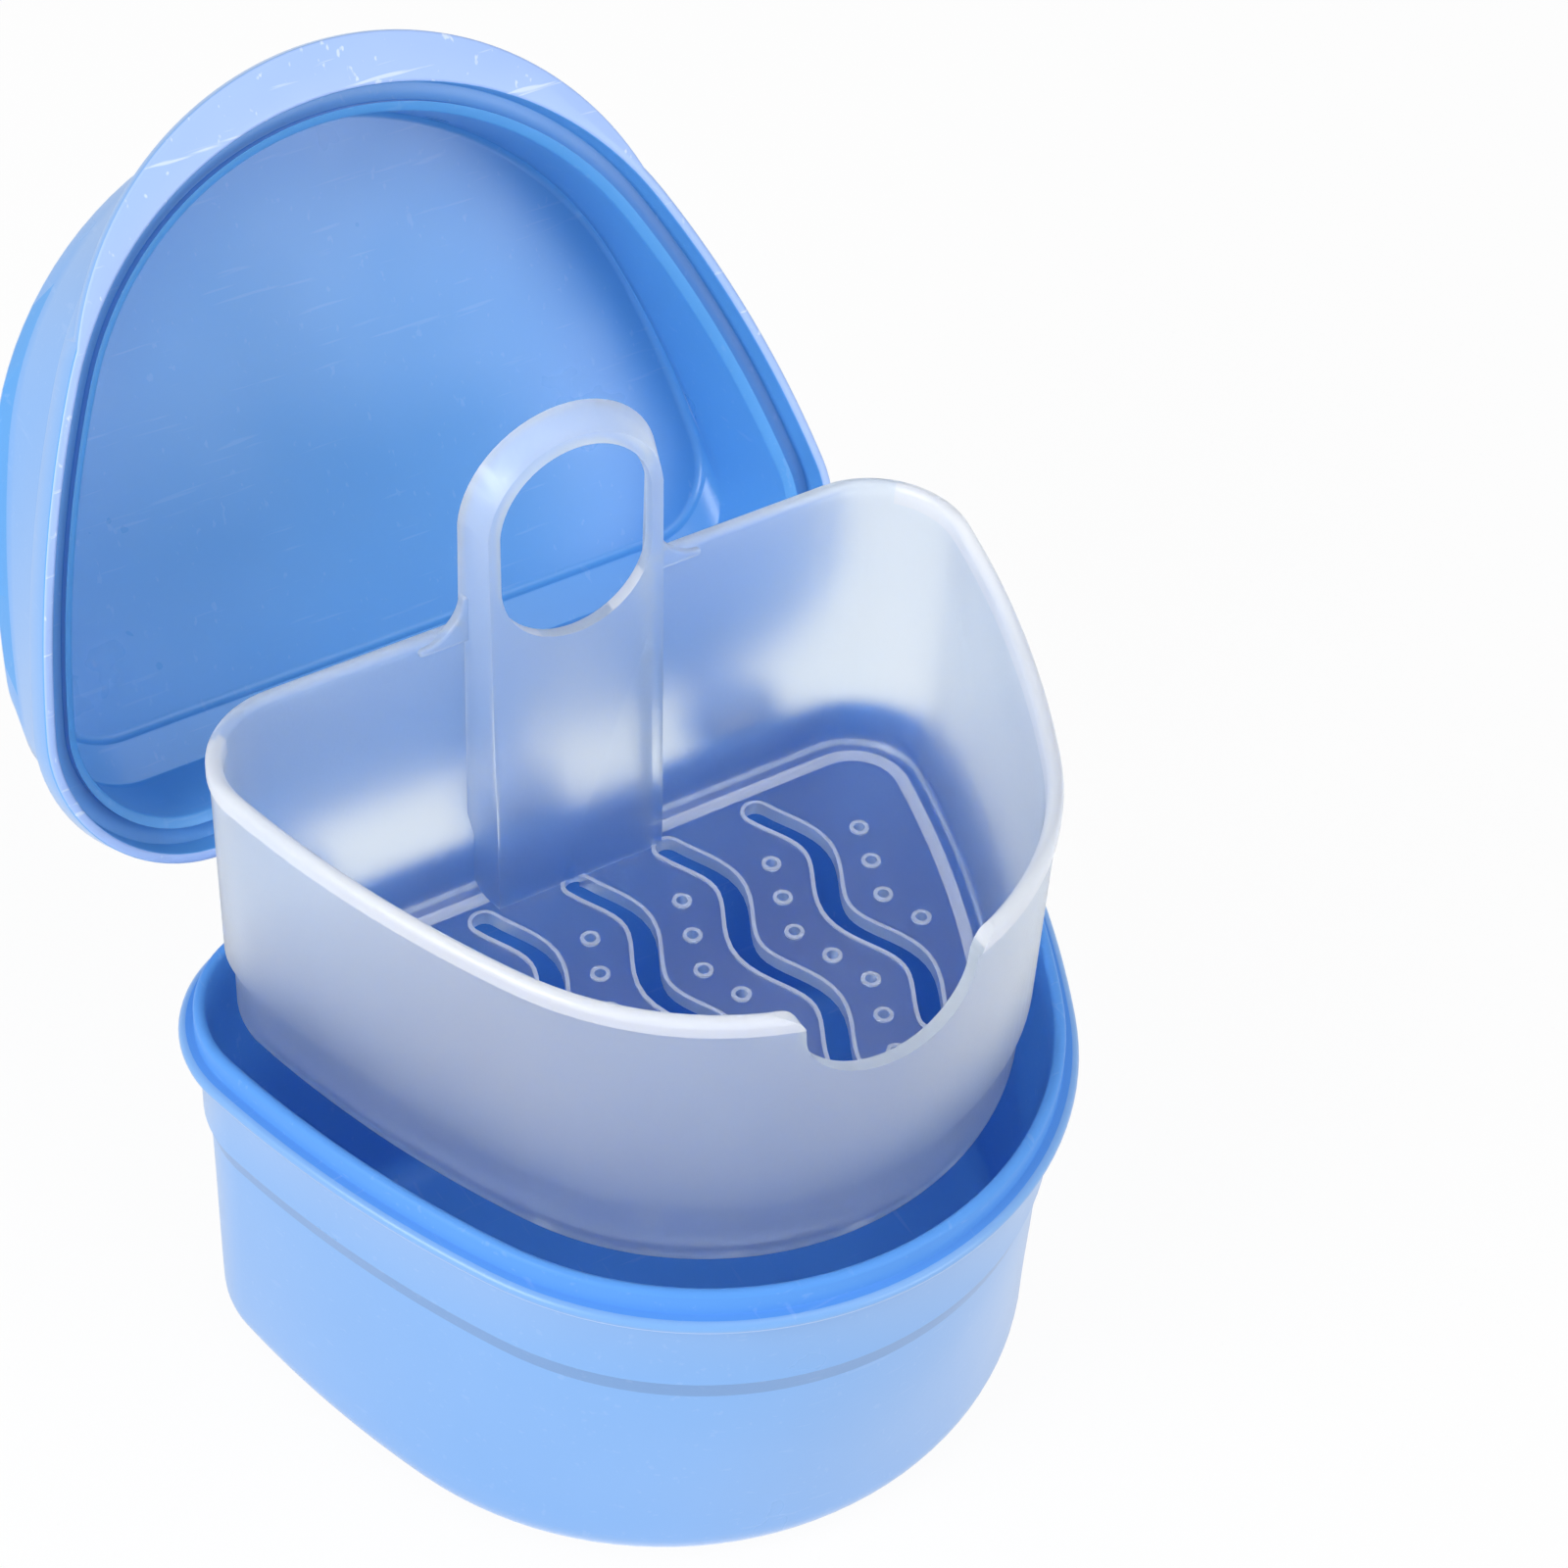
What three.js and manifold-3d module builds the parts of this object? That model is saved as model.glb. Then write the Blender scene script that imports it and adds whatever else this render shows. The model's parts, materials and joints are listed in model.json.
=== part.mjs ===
// A denture case: a blue base tub, a hinged lid and a frosted strainer basket with a handle.
// Millimetres, +Z up. The case rests on the plane z = 0 with its nose towards -Y and its hinge
// towards +Y. The lid is placed open and the basket lifted, as in the photograph.
import * as THREE from 'three';
import Module from 'manifold-3d';
import { mergeVertices } from 'three/addons/utils/BufferGeometryUtils.js';

const wasm = await Module();
wasm.setup();

// The case seen from above, at the edge of the base's flange
const caseWidth = 96;
const caseDepth = 74.9;
const cornerRadius = 15.5;
const noseRadius = 39.7;
const sideRadius = 135.3;

// Gaps between the pieces
const restGap = 0.3;
const ringGap = 0.35;
const pinGap = 0.3;
const knuckleGap = 0.3;
const basketGap = 2.05;

// Base
const flangeTop = 45.55;
const flangeThickness = 1.5;
const ringHeight = 2.8;
const ringInset = 1.64;
const ringThickness = 1.27;
const bandInset = 1.95;
const stepHeight = 31.2;
const stepRise = 2.7;
const stepInset = 0.7;
const baseWall = 1.65;
const baseFloor = 1.6;
const footSideInset = 2.9;
const footNoseInset = 4.75;
const footCornerRadius = 12;
const footNoseRadius = 40.5;
const footEdgeRadius = 5.2;

// Lid
const lidOpenAngle = 117;
const skirtHeight = 3.6;
const skirtFlare = 0.2;
const rimEdge = 0.25;
const rebateDepth = 3.8;
const rebateDraft = 0.12;
const ridgeRise = 2.51;
const domeInset = 4.34;
const domeStart = 3.42;
const shoulderRise = 17.9;
const shoulderSideInset = 5.24;
const shoulderNoseInset = 5.43;
const shoulderBackInset = 4.9;
const shoulderCornerRadius = 9.4;
const shoulderNoseRadius = 38;
const ceilingSideInset = 5.35;
const ceilingNoseInset = 5.56;
const ceilingBackInset = 9.44;
const ceilingCornerRadius = 8.9;
const ceilingNoseRadius = 39.8;
const ceilingEdgeRadius = 1;
const domeDepth = 20.6;
const lidWall = 1.8;
const lidShoulderLift = 1.25;
const thumbRadius = 35.9;
const thumbReach = 4.45;
const thumbThickness = 1.6;
const thumbSeat = 0.6;

// Snap hinge at the back
const hingeReach = 4.9;
const hingeDrop = 0.95;
const pinRadius = 1.25;
const knuckleWall = 1.2;
const earThickness = 2.4;
const outerHingeWidth = 10.5;
const middleHingeWidth = 9;
const hingeSpacing = 56;
const earRootDrop = 7;
const earRootDepth = 0.8;
const earTopDrop = 0.35;
const clipRootRise = 4.4;
const clipRootDepth = 0.8;
const clipMouthAngle = 300;
const clipMouthSpan = 76;

// Strainer basket
const basketLift = 43;
const basketShift = 0.5;
const basketWall = 1.4;
const basketFloor = 1.4;
const basketDepth = 36.5;
const lipWidth = 1.65;
const lipHeight = 2.2;
const lipOverhang = 0.3;
const wallDraft = 0.25;
const shelfHeight = 9.5;
const shelfRise = 2.5;
const shelfInset = 0.9;
const basketEdgeRadius = 4;
const notchWidth = 19;
const notchDepth = 10.4;
const notchCornerReach = 3.7;
const notchCornerDrop = 3.4;

// Handle of the basket
const handleFrontWidth = 20.1;
const handleBackWidth = 22.9;
const handleFrontHeight = 21.75;
const handleBackHeight = 23.4;
const handleDepth = 3.3;
const handleLean = 2.7;
const handleBackInset = 0.9;
const handleWall = 1.35;
const fingerHoleHeight = 23.05;
const handleFilletRadius = 5;

// Drain pattern in the basket's floor
const slotPitch = 11.3;
const slotWidth = 2.7;
const slotCount = 5;
const waveHeight = 1.65;
const rowPitch = 4.9;
const rowsPerWave = 4;
const firstRow = 17;
const drainRadius = 0.62;
const slotHeadRoom = 2.6;
const patternMargin = 3.2;

// Fineness of the rounded shapes
const cornerSteps = 8;
const sideSteps = 5;
const noseSteps = 10;
const edgeSteps = 4;
const roundSteps = 24;
const drainSides = 8;
const waveSteps = 16;

// Lets a cutting tool run past the piece that it cuts
const overrun = 4;

// The outline family: a straight back, two corner arcs, two long side arcs and a nose arc,
// each tangent to the next

const caseForm = {
  width: caseWidth, depth: caseDepth, corner: cornerRadius, nose: noseRadius, side: sideRadius, shift: 0,
};

function inset(form, distance) {
  return {
    width: form.width - 2 * distance,
    depth: form.depth - 2 * distance,
    corner: form.corner - distance,
    nose: form.nose - distance,
    side: form.side - distance,
    shift: form.shift,
  };
}

// The case's outline drawn in by different amounts at its sides, nose and back
function drawnIn(side, nose, back, corner, noseArc) {
  return {
    width: caseForm.width - 2 * side,
    depth: caseForm.depth - nose - back,
    corner,
    nose: noseArc,
    side: caseForm.side,
    shift: (nose - back) / 2,
  };
}

function outline(form) {
  const corner = new THREE.Vector2(form.width / 2 - form.corner, form.depth / 2 - form.corner);
  const nose = new THREE.Vector2(0, form.nose - form.depth / 2);
  const cornerReach = form.side - form.corner;
  const noseReach = form.side - form.nose;
  const between = corner.distanceTo(nose);
  const along = (cornerReach ** 2 - noseReach ** 2 + between ** 2) / (2 * between);
  const away = Math.sqrt(cornerReach ** 2 - along ** 2);
  const toNose = nose.clone().sub(corner).normalize();
  const side = corner.clone().addScaledVector(toNose, along)
    .add(new THREE.Vector2(toNose.y, -toNose.x).multiplyScalar(away));
  const cornerEnd = corner.clone().sub(side).angle();
  const noseStart = nose.clone().sub(side).angle();
  const fullTurn = 2 * Math.PI;
  const signed = (angle) => (angle > Math.PI ? angle - fullTurn : angle);
  const arc = (centre, radius, from, to, steps) => new THREE.EllipseCurve(
    centre.x, centre.y + form.shift, radius, radius, signed(from), signed(to), true).getPoints(steps);
  const right = [
    ...arc(corner, form.corner, Math.PI / 2, cornerEnd, cornerSteps),
    ...arc(side, form.side, cornerEnd, noseStart, sideSteps).slice(1),
    ...arc(nose, form.nose, noseStart, -Math.PI / 2 + fullTurn, noseSteps).slice(1),
  ];
  const left = right.slice(0, -1).reverse().map((point) => new THREE.Vector2(-point.x, point.y));
  return [...right, ...left].reverse();
}

// A closed skin through level rings, capped flat at its first and last ring. The two halves are
// mirror images, down to the way that their faces are split
function skin(rings) {
  const count = outline(rings[0].form).length;
  const position = [];
  const index = [];
  for (const { form, z } of rings) {
    for (const point of outline(form)) position.push(point.x, point.y, z);
  }
  for (let ring = 0; ring + 1 < rings.length; ring += 1) {
    for (let step = 0; step < count; step += 1) {
      const next = (step + 1) % count;
      const a = ring * count + step;
      const b = ring * count + next;
      const c = (ring + 1) * count + next;
      const d = (ring + 1) * count + step;
      if (step < (count - 1) / 2) index.push(a, b, c, a, c, d);
      else index.push(a, b, d, b, c, d);
    }
  }
  const cap = (ring, upwards) => {
    const centre = position.length / 3;
    const { form, z } = rings[ring];
    position.push(0, form.shift, z);
    for (let step = 0; step < count; step += 1) {
      const a = ring * count + step;
      const b = ring * count + (step + 1) % count;
      index.push(centre, upwards ? a : b, upwards ? b : a);
    }
  };
  cap(0, false);
  cap(rings.length - 1, true);
  const geometry = new THREE.BufferGeometry();
  geometry.setAttribute('position', new THREE.Float32BufferAttribute(position, 3));
  geometry.setIndex(index);
  return solid(geometry);
}

// Rings round a quarter-circle edge; depth runs from the flat (0) to the wall (radius)
function edgeRings(form, radius, flatZ, upDirection) {
  const rings = [];
  for (let step = 0; step <= edgeSteps; step += 1) {
    const angle = (step / edgeSteps) * (Math.PI / 2);
    const depth = radius * (1 - Math.cos(angle));
    rings.push({ form: inset(form, radius * (1 - Math.sin(angle))), z: flatZ + upDirection * depth });
  }
  return rings;
}

// Joining and cutting

function solid(geometry) {
  const bare = geometry.clone();
  bare.deleteAttribute('normal');
  bare.deleteAttribute('uv');
  const merged = mergeVertices(bare);
  return new wasm.Manifold(new wasm.Mesh({
    numProp: 3,
    vertProperties: new Float32Array(merged.attributes.position.array),
    triVerts: new Uint32Array(merged.index.array),
  }));
}

function piece(name, body, material) {
  const mesh = body.getMesh();
  const geometry = new THREE.BufferGeometry();
  geometry.setAttribute('position', new THREE.BufferAttribute(new Float32Array(mesh.vertProperties), 3));
  geometry.setIndex(new THREE.BufferAttribute(new Uint32Array(mesh.triVerts), 1));
  geometry.computeVertexNormals();
  const result = new THREE.Mesh(geometry, material);
  result.name = name;
  return result;
}

// A flat shape extruded upwards from z = from
function upright(shape, from, height) {
  const geometry = new THREE.ExtrudeGeometry(shape, {
    depth: height, bevelEnabled: false, curveSegments: roundSteps,
  });
  return solid(geometry.translate(0, 0, from));
}

// A shape drawn in the y-z plane, extruded along x and centred there
function acrossX(shape, centreX, width) {
  const geometry = new THREE.ExtrudeGeometry(shape, {
    depth: width, bevelEnabled: false, curveSegments: roundSteps,
  });
  const x = new THREE.Vector3(1, 0, 0);
  const y = new THREE.Vector3(0, 1, 0);
  const z = new THREE.Vector3(0, 0, 1);
  geometry.applyMatrix4(new THREE.Matrix4().makeBasis(y, z, x));
  return solid(geometry.translate(centreX - width / 2, 0, 0));
}

// A shape drawn in the x-z plane, extruded along +Y from y = from
function alongY(shape, from, length) {
  const geometry = new THREE.ExtrudeGeometry(shape, {
    depth: length, bevelEnabled: false, curveSegments: roundSteps,
  });
  geometry.rotateX(Math.PI / 2);
  return solid(geometry.translate(0, from + length, 0));
}

// Heights and places that the pieces share

const ringTop = flangeTop + ringHeight;
const rimZ = flangeTop + restGap;
const caseBack = caseDepth / 2;
const hingeY = caseBack + hingeReach;
const hingeZ = flangeTop - hingeDrop;
const knuckleRadius = pinRadius + pinGap + knuckleWall;
const hinges = [
  { x: -hingeSpacing / 2, width: outerHingeWidth },
  { x: 0, width: middleHingeWidth },
  { x: hingeSpacing / 2, width: outerHingeWidth },
];

const blue = new THREE.MeshStandardMaterial({ color: 0x8fb9ee, roughness: 0.32, metalness: 0 });
const lidBlue = new THREE.MeshStandardMaterial({ color: 0x79b2f0, roughness: 0.28, metalness: 0 });
const frosted = new THREE.MeshStandardMaterial({
  color: 0xe6ebf8, roughness: 0.45, metalness: 0, transparent: true, opacity: 0.6,
});

// Base: a tub with a foot that draws in, a raised band, a rounded flange and a sealing ring

function makeBase() {
  const band = inset(caseForm, bandInset);
  const lower = inset(band, stepInset);
  const foot = drawnIn(footSideInset, footNoseInset, footSideInset, footCornerRadius, footNoseRadius);
  const flangeEdge = flangeThickness / 2;
  const ringEdge = ringThickness / 2;
  const ring = inset(caseForm, ringInset);
  const ringInside = inset(ring, ringThickness);
  const bead = [];
  for (let step = 0; step <= edgeSteps; step += 1) {
    const angle = (step / edgeSteps - 1 / 2) * Math.PI;
    bead.push({
      form: inset(caseForm, flangeEdge * (1 - Math.cos(angle))),
      z: flangeTop - flangeEdge + flangeEdge * Math.sin(angle),
    });
  }
  const ringRound = [];
  for (let step = 0; step <= edgeSteps; step += 1) {
    const angle = (step / edgeSteps) * Math.PI;
    ringRound.push({
      form: inset(ring, ringEdge * (1 - Math.cos(angle))),
      z: ringTop - ringEdge + ringEdge * Math.sin(angle),
    });
  }
  const insideEdge = footEdgeRadius - baseWall;
  const tub = skin([
    ...edgeRings(foot, footEdgeRadius, 0, 1),
    { form: lower, z: stepHeight },
    { form: band, z: stepHeight + stepRise },
    { form: band, z: flangeTop - flangeThickness },
    ...bead,
    { form: ring, z: flangeTop },
    ...ringRound,
    { form: ringInside, z: flangeTop - flangeThickness },
    { form: inset(band, baseWall), z: stepHeight + stepRise },
    { form: inset(lower, baseWall), z: stepHeight },
    ...edgeRings(inset(foot, baseWall), insideEdge, baseFloor, 1).reverse(),
  ]);

  const bandBack = caseBack - bandInset;
  const earTop = flangeTop - earTopDrop;
  const topLean = Math.asin((earTop - hingeZ) / knuckleRadius);
  const ear = new THREE.Shape();
  ear.moveTo(bandBack - earRootDepth, flangeTop - earRootDrop);
  ear.lineTo(bandBack, flangeTop - earRootDrop);
  ear.lineTo(hingeY - knuckleRadius * Math.SQRT1_2, hingeZ - knuckleRadius * Math.SQRT1_2);
  ear.absarc(hingeY, hingeZ, knuckleRadius, -3 * Math.PI / 4, Math.PI - topLean, false);
  ear.lineTo(bandBack - earRootDepth, earTop);
  ear.closePath();
  const pin = new THREE.Shape();
  pin.absarc(hingeY, hingeZ, pinRadius, 0, 2 * Math.PI, false);
  let body = tub;
  for (const { x, width } of hinges) {
    const earOffset = (width - earThickness) / 2;
    body = body.add(acrossX(ear, x - earOffset, earThickness));
    body = body.add(acrossX(ear, x + earOffset, earThickness));
    body = body.add(acrossX(pin, x, width - earThickness));
  }
  return piece('base', body, blue);
}

// Lid, modelled closed: a shallow dome, sloped at the back, whose rim drops over the base's ring.
// A ridge inside the rim hangs just within the ring

function makeLid() {
  const rim = caseForm;
  const rebate = inset(caseForm, ringInset - ringGap);
  const ridge = inset(caseForm, ringInset + ringThickness + ringGap);
  const dome = inset(caseForm, domeInset);
  const shoulder = drawnIn(
    shoulderSideInset, shoulderNoseInset, shoulderBackInset, shoulderCornerRadius, shoulderNoseRadius);
  const domeTop = drawnIn(
    ceilingSideInset, ceilingNoseInset, ceilingBackInset, ceilingCornerRadius, ceilingNoseRadius);
  const outside = inset(dome, -lidWall);
  const ceiling = rimZ + domeDepth;
  const outsideStart = skirtHeight + lidWall;
  const shell = skin([
    ...edgeRings(domeTop, ceilingEdgeRadius, ceiling, -1),
    { form: shoulder, z: rimZ + shoulderRise },
    { form: dome, z: rimZ + domeStart },
    { form: ridge, z: rimZ + ridgeRise },
    { form: ridge, z: rimZ + rebateDepth },
    { form: rebate, z: rimZ + rebateDepth },
    { form: inset(rebate, -rebateDraft), z: rimZ + rimEdge },
    { form: inset(rebate, -rebateDraft - rimEdge), z: rimZ },
    { form: inset(rim, rimEdge), z: rimZ },
    { form: rim, z: rimZ + rimEdge },
    { form: inset(rim, -skirtFlare), z: rimZ + skirtHeight },
    { form: inset(rim, rimEdge), z: rimZ + skirtHeight + skirtFlare + rimEdge },
    { form: inset(outside, -rimEdge), z: rimZ + outsideStart },
    { form: outside, z: rimZ + outsideStart + rimEdge },
    { form: inset(shoulder, -lidWall), z: rimZ + shoulderRise + lidShoulderLift },
    ...edgeRings(inset(domeTop, -lidWall), lidWall, ceiling + lidWall, -1).reverse(),
  ]);

  const thumbCentre = thumbRadius - caseBack - thumbReach;
  const tab = new THREE.Shape();
  tab.absarc(0, thumbCentre, thumbRadius, -Math.PI, 0, false);
  tab.closePath();
  const seat = new THREE.Shape(outline(inset(caseForm, thumbSeat)));
  const crescent = upright(tab, rimZ, thumbThickness)
    .subtract(upright(seat, rimZ - overrun, thumbThickness + 2 * overrun));

  const rootY = caseBack - clipRootDepth;
  const mouthMiddle = THREE.MathUtils.degToRad(clipMouthAngle);
  const mouthHalf = THREE.MathUtils.degToRad(clipMouthSpan / 2);
  const boreRadius = pinRadius + pinGap;
  const lean = Math.asin((rimZ - hingeZ) / knuckleRadius);
  const clip = new THREE.Shape();
  clip.moveTo(rootY, rimZ);
  clip.absarc(hingeY, hingeZ, knuckleRadius, Math.PI - lean, mouthMiddle - mouthHalf, false);
  clip.absarc(hingeY, hingeZ, boreRadius, mouthMiddle - mouthHalf, mouthMiddle + mouthHalf, true);
  clip.absarc(hingeY, hingeZ, knuckleRadius, mouthMiddle + mouthHalf, 2 * Math.PI + Math.PI / 2, false);
  clip.lineTo(caseBack + skirtFlare, rimZ + clipRootRise);
  clip.lineTo(rootY, rimZ + clipRootRise);
  clip.closePath();
  let body = shell.add(crescent);
  for (const { x, width } of hinges) {
    body = body.add(acrossX(clip, x, width - 2 * (earThickness + knuckleGap)));
  }
  return piece('lid', body, lidBlue);
}

// Strainer basket, modelled with z = 0 at the top of its lip

function tombstone(halfWidth, top, bottom) {
  const shape = new THREE.Shape();
  shape.moveTo(-halfWidth, bottom);
  shape.lineTo(halfWidth, bottom);
  shape.absarc(0, top - halfWidth, halfWidth, 0, Math.PI, false);
  shape.closePath();
  return shape;
}

// Skin between two like outlines that stand one in front of the other, each at a y that may
// depend on the height
function taper(frontShape, backShape, frontAt, backAt) {
  const front = frontShape.getPoints(roundSteps);
  const back = backShape.getPoints(roundSteps);
  const faces = THREE.ShapeUtils.triangulateShape(front, []);
  const count = front.length;
  const position = [
    ...front.flatMap((point) => [point.x, frontAt(point.y), point.y]),
    ...back.flatMap((point) => [point.x, backAt(point.y), point.y]),
  ];
  const index = [];
  for (const [a, b, c] of faces) index.push(a, b, c, count + a, count + c, count + b);
  for (let step = 0; step < count; step += 1) {
    const next = (step + 1) % count;
    const [a, b, c, d] = [step, next, count + next, count + step];
    if (step < count / 2) index.push(a, d, c, a, c, b);
    else index.push(a, d, b, b, d, c);
  }
  const geometry = new THREE.BufferGeometry();
  geometry.setAttribute('position', new THREE.Float32BufferAttribute(position, 3));
  geometry.setIndex(index);
  return solid(geometry);
}

const basketForm = {
  ...inset(caseForm, ringInset + ringThickness + basketGap), shift: basketShift,
};
const basketFoot = -basketDepth - basketFloor;
const shelfTop = basketFoot + shelfHeight + shelfRise;

function basketShell() {
  const wallTop = inset(basketForm, lipOverhang);
  const wallLow = inset(wallTop, wallDraft);
  const footForm = inset(wallLow, shelfInset);
  const lipEdge = lipWidth / 2;
  const lip = [];
  for (let step = 0; step <= edgeSteps; step += 1) {
    const angle = (step / edgeSteps) * Math.PI;
    lip.push({
      form: inset(basketForm, lipEdge * (1 - Math.cos(angle))),
      z: -lipEdge + lipEdge * Math.sin(angle),
    });
  }
  const outside = skin([
    ...edgeRings(footForm, basketEdgeRadius, basketFoot, 1),
    { form: footForm, z: basketFoot + shelfHeight },
    { form: wallLow, z: shelfTop },
    { form: wallTop, z: -lipHeight },
    { form: basketForm, z: -lipHeight + lipOverhang },
    ...lip.slice(0, edgeSteps / 2 + 1),
  ]);
  const hollow = skin([
    ...edgeRings(inset(footForm, basketWall), basketEdgeRadius - basketWall, -basketDepth, 1),
    { form: inset(footForm, basketWall), z: basketFoot + shelfHeight },
    { form: inset(wallLow, basketWall), z: shelfTop },
    { form: inset(wallTop, basketWall), z: -lipHeight },
    ...lip.slice(edgeSteps / 2).reverse(),
    { form: inset(basketForm, lipEdge), z: overrun },
  ]);
  return { outside, hollow };
}

function pouringNotch() {
  const half = notchWidth / 2;
  const reach = half + notchCornerReach;
  const drop = notchCornerDrop;
  const shape = new THREE.Shape();
  shape.moveTo(-reach, overrun);
  shape.lineTo(-reach, 0);
  shape.quadraticCurveTo(-half, 0, -half, -drop);
  shape.absellipse(0, -drop, half, notchDepth - drop, Math.PI, 2 * Math.PI, false);
  shape.quadraticCurveTo(half, 0, reach, 0);
  shape.lineTo(reach, overrun);
  shape.closePath();
  return alongY(shape, -basketForm.depth / 2 - overrun, basketForm.depth / 2);
}

// The handle is the back wall itself, folded inwards as a channel that is open at the back. Its
// front plate leans forwards towards the floor
function handle() {
  const backY = basketForm.depth / 2 + basketShift - handleBackInset;
  const frontY = backY - handleDepth;
  const frontHalf = handleFrontWidth / 2;
  const backHalf = handleBackWidth / 2;
  const leaning = (z) => frontY - handleLean * (handleFrontHeight - z) / (handleFrontHeight + basketDepth);
  const channel = taper(
    tombstone(frontHalf, handleFrontHeight, -basketDepth),
    tombstone(backHalf, handleBackHeight, -basketDepth), leaning, () => backY);

  const flare = (front, back, share) => front + (back - front) * share;
  const plateShare = handleWall / handleDepth;
  const inner = (share) => tombstone(
    flare(frontHalf, backHalf, share) - handleWall,
    flare(handleFrontHeight, handleBackHeight, share) - handleWall, basketFoot - overrun);
  const recess = taper(inner(plateShare), inner(1), (z) => leaning(z) + handleWall, () => backY)
    .add(taper(inner(1), inner(1), () => backY, () => backY + overrun));

  const holeHalf = frontHalf - handleWall;
  const holeTop = handleFrontHeight - handleWall;
  const hole = new THREE.Shape();
  hole.absarc(0, holeTop - holeHalf, holeHalf, 0, Math.PI, false);
  hole.absarc(0, holeTop - fingerHoleHeight + holeHalf, holeHalf, Math.PI, 2 * Math.PI, false);
  hole.closePath();
  const fingerHole = alongY(hole, frontY - overrun, handleWall + 2 * overrun);

  const web = new THREE.Shape();
  const reach = backHalf + handleFilletRadius;
  web.moveTo(-reach, -lipWidth);
  web.lineTo(reach, -lipWidth);
  web.lineTo(reach, -lipWidth / 2);
  web.absarc(reach, handleFilletRadius - lipWidth / 2, handleFilletRadius, -Math.PI / 2, -Math.PI, true);
  web.lineTo(-backHalf, handleFilletRadius - lipWidth / 2);
  web.absarc(-reach, handleFilletRadius - lipWidth / 2, handleFilletRadius, 0, -Math.PI / 2, true);
  web.closePath();
  const webs = alongY(web, backY - basketWall, basketWall);
  return { channel, recess, fingerHole, webs };
}

const wave = (y) => waveHeight * Math.cos((2 * Math.PI * (y - firstRow)) / (rowsPerWave * rowPitch));

// Where the pattern's margin runs in front of a place across the basket
function frontEdge(x) {
  const margin = lipOverhang + wallDraft + shelfInset + basketWall + patternMargin;
  const points = outline({ ...inset(basketForm, margin), shift: 0 });
  let edge = caseBack;
  points.forEach((start, step) => {
    const end = points[(step + 1) % points.length];
    const share = (x - start.x) / (end.x - start.x);
    if (share >= 0 && share <= 1) edge = Math.min(edge, start.y + (end.y - start.y) * share);
  });
  return edge;
}

function wavySlot(centreX) {
  const middle = [];
  const start = firstRow + rowPitch + slotHeadRoom;
  const end = frontEdge(Math.abs(centreX) + waveHeight) + slotWidth;
  for (let step = 0; step <= waveSteps; step += 1) {
    const y = start + (end - start) * (step / waveSteps);
    middle.push(new THREE.Vector2(centreX + wave(y), y));
  }
  const route = new THREE.SplineCurve(middle);
  const half = slotWidth / 2;
  const sides = { right: [], left: [] };
  for (let step = 0; step <= waveSteps; step += 1) {
    const at = route.getPoint(step / waveSteps);
    const heading = route.getTangent(step / waveSteps);
    const normal = new THREE.Vector2(-heading.y, heading.x).multiplyScalar(half);
    sides.right.push(at.clone().add(normal));
    sides.left.push(at.clone().sub(normal));
  }
  const headAngle = route.getTangent(1).angle();
  const tailAngle = route.getTangent(0).angle();
  const shape = new THREE.Shape(sides.right);
  const endCap = new THREE.EllipseCurve(
    middle[waveSteps].x, middle[waveSteps].y, half, half,
    headAngle + Math.PI / 2, headAngle - Math.PI / 2, true);
  for (const point of endCap.getPoints(edgeSteps).slice(1)) shape.lineTo(point.x, point.y);
  for (const point of sides.left.slice(0, -1).reverse()) shape.lineTo(point.x, point.y);
  const startCap = new THREE.EllipseCurve(
    middle[0].x, middle[0].y, half, half, tailAngle - Math.PI / 2, tailAngle - 3 * Math.PI / 2, true);
  for (const point of startCap.getPoints(edgeSteps).slice(1, -1)) shape.lineTo(point.x, point.y);
  shape.closePath();
  return upright(shape, basketFoot - overrun, basketFloor + 2 * overrun);
}

function drainPattern() {
  let cuts = null;
  const add = (cut) => { cuts = cuts ? cuts.add(cut) : cut; };
  const outermost = (slotCount - 1) / 2;
  for (let column = -outermost; column <= outermost; column += 1) add(wavySlot(column * slotPitch));
  const drain = new THREE.CylinderGeometry(drainRadius, drainRadius, basketFloor + 2 * overrun, drainSides);
  drain.rotateX(Math.PI / 2);
  for (let column = -slotCount / 2; column <= slotCount / 2; column += 1) {
    const x = column * slotPitch;
    for (let y = firstRow; y > frontEdge(Math.abs(x) + waveHeight); y -= rowPitch) {
      add(solid(drain.clone().translate(x + wave(y), y, basketFoot + basketFloor / 2)));
    }
  }
  return cuts.translate([0, basketShift, 0]);
}

function makeBasket() {
  const { outside, hollow } = basketShell();
  const { channel, recess, fingerHole, webs } = handle();
  const around = new THREE.Shape(outline(inset(basketForm, -overrun)));
  const belowLip = upright(around, basketFoot - overrun, overrun - basketFoot - lipWidth);
  const body = outside.subtract(hollow.subtract(channel)).subtract(pouringNotch())
    .add(webs).add(channel.subtract(belowLip))
    .subtract(recess).subtract(fingerHole).subtract(drainPattern());
  return piece('strainer_basket', body, frosted);
}

// The assembly, with the lid open on its hinge and the basket lifted

const dentureCase = new THREE.Group();
dentureCase.add(makeBase());

const lidHinge = new THREE.Group();
lidHinge.position.set(0, hingeY, hingeZ);
lidHinge.rotation.x = THREE.MathUtils.degToRad(-lidOpenAngle);
const lid = makeLid();
lid.position.set(0, -hingeY, -hingeZ);
lidHinge.add(lid);
dentureCase.add(lidHinge);

const basket = makeBasket();
basket.position.z = baseFloor + restGap - basketFoot + basketLift;
dentureCase.add(basket);

export default dentureCase;
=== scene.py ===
"""A denture case: a blue tub, its hinged lid standing open and a frosted strainer basket lifted."""

import json
import math

import bmesh
import bpy
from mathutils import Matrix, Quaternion, Vector


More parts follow.
